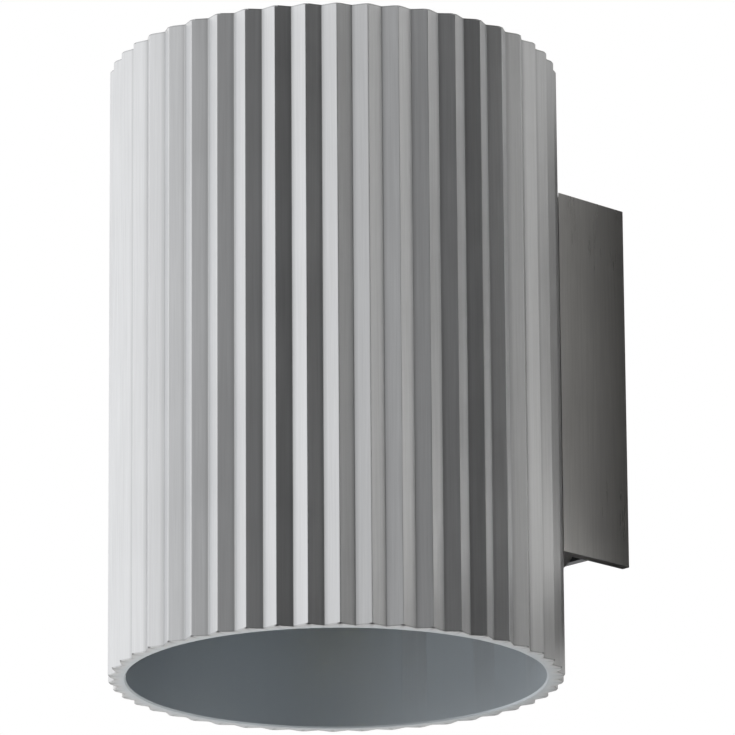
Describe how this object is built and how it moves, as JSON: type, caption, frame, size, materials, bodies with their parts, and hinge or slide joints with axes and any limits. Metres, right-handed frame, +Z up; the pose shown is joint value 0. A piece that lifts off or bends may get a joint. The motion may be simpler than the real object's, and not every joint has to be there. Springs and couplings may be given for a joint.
{
  "type": "tube wall light",
  "caption": "Up-and-down wall light: a fluted aluminium tube, open at both ends, held off the wall by a small box, with push-in lamps on its axis.",
  "frame": {"origin": "centre of the cable hole in the wall bracket's back face, which lies on the wall", "axes": "+Z up along the tube, +Y into the wall, the tube stands out from the wall towards -Y"},
  "size_m": [0.0998, 0.1057, 0.139],
  "materials": {
    "satin_aluminium": "satin, brushed along its length",
    "zinc_plated_steel": "bright zinc plated",
    "white_ceramic": "glazed",
    "contact_metal": "nickel plated",
    "lamp_plastic": "matt",
    "tinned_wire": "tinned",
    "lamp_glass": "clear",
    "led_column_white": "white solder mask",
    "led_phosphor": "silicone over phosphor",
    "black_rubber": "matt",
    "white_nylon": "natural nylon",
    "terminal_brass": "plain",
    "brown_silicone": "silicone sleeve",
    "blue_silicone": "silicone sleeve",
    "green_yellow_silicone": "silicone sleeve"
  },
  "bodies": {
    "fixture": {"fluted_tube": "satin_aluminium", "wall_box": "satin_aluminium", "wall_bracket": "zinc_plated_steel", "lamp_bracket": "zinc_plated_steel", "tube_screws": "zinc_plated_steel", "tube_washers": "zinc_plated_steel", "tube_nuts": "zinc_plated_steel", "box_screws": "zinc_plated_steel", "upper_holder": "white_ceramic", "lower_holder": "white_ceramic", "upper_contacts": "contact_metal", "lower_contacts": "contact_metal", "holder_screws": "zinc_plated_steel", "holder_nuts": "zinc_plated_steel", "tube_grommet": "black_rubber", "shelf_grommet": "black_rubber", "terminal_block": "white_nylon", "terminal_inserts": "terminal_brass", "terminal_screws": "zinc_plated_steel", "earth_stud": "zinc_plated_steel", "wall_earth_ring": "contact_metal", "lamp_earth_ring": "contact_metal", "earth_washer": "zinc_plated_steel", "earth_nut": "zinc_plated_steel", "lamp_earth_screw": "zinc_plated_steel", "upper_live_wire": "brown_silicone", "upper_neutral_wire": "blue_silicone", "lower_live_wire": "brown_silicone", "lower_neutral_wire": "blue_silicone", "earth_wire": "green_yellow_silicone"},
    "lower_lamp": {"lower_lamp_base": "lamp_plastic", "lower_lamp_pins": "tinned_wire", "lower_lamp_column": "led_column_white", "lower_lamp_chips": "led_phosphor", "lower_lamp_envelope": "lamp_glass"},
    "upper_lamp": {"upper_lamp_base": "lamp_plastic", "upper_lamp_pins": "tinned_wire", "upper_lamp_column": "led_column_white", "upper_lamp_chips": "led_phosphor", "upper_lamp_envelope": "lamp_glass"}
  },
  "joints": [
    {"name": "lower_lamp_pull", "type": "slide", "parent": "fixture", "child": "lower_lamp", "axis": [0, 0, -1], "range_m": [0, 0.013]},
    {"name": "upper_lamp_pull", "type": "slide", "parent": "fixture", "child": "upper_lamp", "axis": [0, 0, 1], "range_m": [0, 0.013]}
  ]
}
